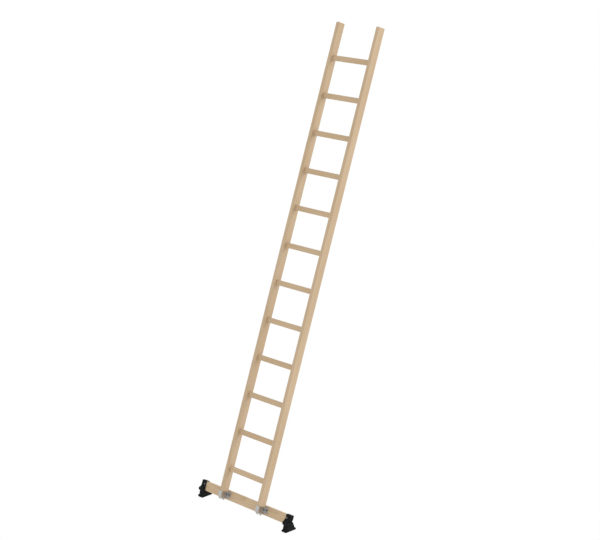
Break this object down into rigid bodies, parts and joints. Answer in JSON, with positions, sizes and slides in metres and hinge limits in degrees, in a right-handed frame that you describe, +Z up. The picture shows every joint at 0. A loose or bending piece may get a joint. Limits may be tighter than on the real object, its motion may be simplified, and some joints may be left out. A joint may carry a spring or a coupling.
{
  "type": "leaning rung ladder",
  "caption": "Wooden single-section leaning ladder with rectangular rungs, a bolted stabiliser traverse at the foot and hinged non-slip feet.",
  "frame": {"origin": "centre of the bottom of the bounding box, on the floor", "axes": "+Z up, +X along the rungs to the climber's right, +Y the way the ladder leans, towards the wall"},
  "size_m": [0.942, 1.2768, 3.429],
  "materials": {
    "stile_wood": "planed and clear-oiled pine",
    "rung_wood": "planed and clear-oiled hardwood",
    "traverse_wood": "planed and clear-oiled pine",
    "bracket_zinc": "galvanised sheet",
    "dark_bolts": "dark zinc-plated",
    "shoe_plastic": "fine moulded grain",
    "sole_rubber": "matt",
    "screw_steel": "plain",
    "black_pins": "black oxide"
  },
  "bodies": {
    "ladder": {"stile_left": "stile_wood", "stile_right": "stile_wood", "rung_01": "rung_wood", "rung_02": "rung_wood", "rung_03": "rung_wood", "rung_04": "rung_wood", "rung_05": "rung_wood", "rung_06": "rung_wood", "rung_07": "rung_wood", "rung_08": "rung_wood", "rung_09": "rung_wood", "rung_10": "rung_wood", "rung_11": "rung_wood", "rung_12": "rung_wood", "traverse": "traverse_wood", "bracket_left": "bracket_zinc", "bracket_right": "bracket_zinc", "cross_bolts": "dark_bolts", "cross_bolt_nuts": "dark_bolts", "flange_bolts": "dark_bolts", "flange_washers": "bracket_zinc", "flange_nuts": "bracket_zinc", "shoe_cap_left": "shoe_plastic", "shoe_cap_right": "shoe_plastic", "cap_screws": "screw_steel", "pivot_pin_left": "black_pins", "pivot_pin_right": "black_pins"},
    "foot_left": {"swivel_foot_left": "shoe_plastic", "sole_left": "sole_rubber"},
    "foot_right": {"swivel_foot_right": "shoe_plastic", "sole_right": "sole_rubber"}
  },
  "joints": [
    {"name": "foot_left_hinge", "type": "hinge", "parent": "ladder", "child": "foot_left", "pos_m": [-0.4475, -0.58945, 0.05964], "axis": [1, 0, 0], "range_deg": [-10, 10]},
    {"name": "foot_right_hinge", "type": "hinge", "parent": "ladder", "child": "foot_right", "pos_m": [0.4475, -0.58945, 0.05964], "axis": [1, 0, 0], "range_deg": [-10, 10]}
  ]
}
